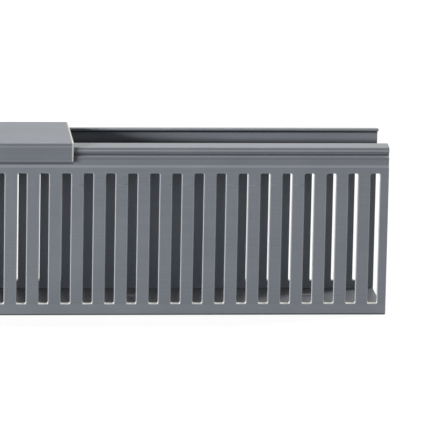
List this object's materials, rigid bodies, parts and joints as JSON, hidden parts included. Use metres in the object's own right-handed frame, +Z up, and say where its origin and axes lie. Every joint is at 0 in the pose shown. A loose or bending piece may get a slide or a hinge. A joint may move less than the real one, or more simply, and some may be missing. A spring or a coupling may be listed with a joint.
{
  "type": "slotted wire duct",
  "caption": "U-shaped rigid plastic wiring duct with closed slots in both walls, oblong fixing holes in its floor and a clip-on cover slid part of the way back.",
  "frame": {"origin": "middle of the channel's underside", "axes": "+X along the duct towards its open right-hand end, +Y across it from the front wall to the back wall, +Z up from the floor towards the cover"},
  "size_m": [1.179, 0.0616, 0.1],
  "materials": {
    "base_pvc": "extruded grey rigid PVC, semi-matte, with paler punched edges",
    "cover_pvc": "extruded grey rigid PVC, semi-matte, with fine lines along its length"
  },
  "bodies": {
    "base": {"duct_base": "base_pvc"},
    "cover": {"cover": "cover_pvc"}
  },
  "joints": [
    {"name": "cover_slide", "type": "slide", "parent": "base", "child": "cover", "axis": [1, 0, 0], "range_m": [-0.826, 0.179]}
  ]
}
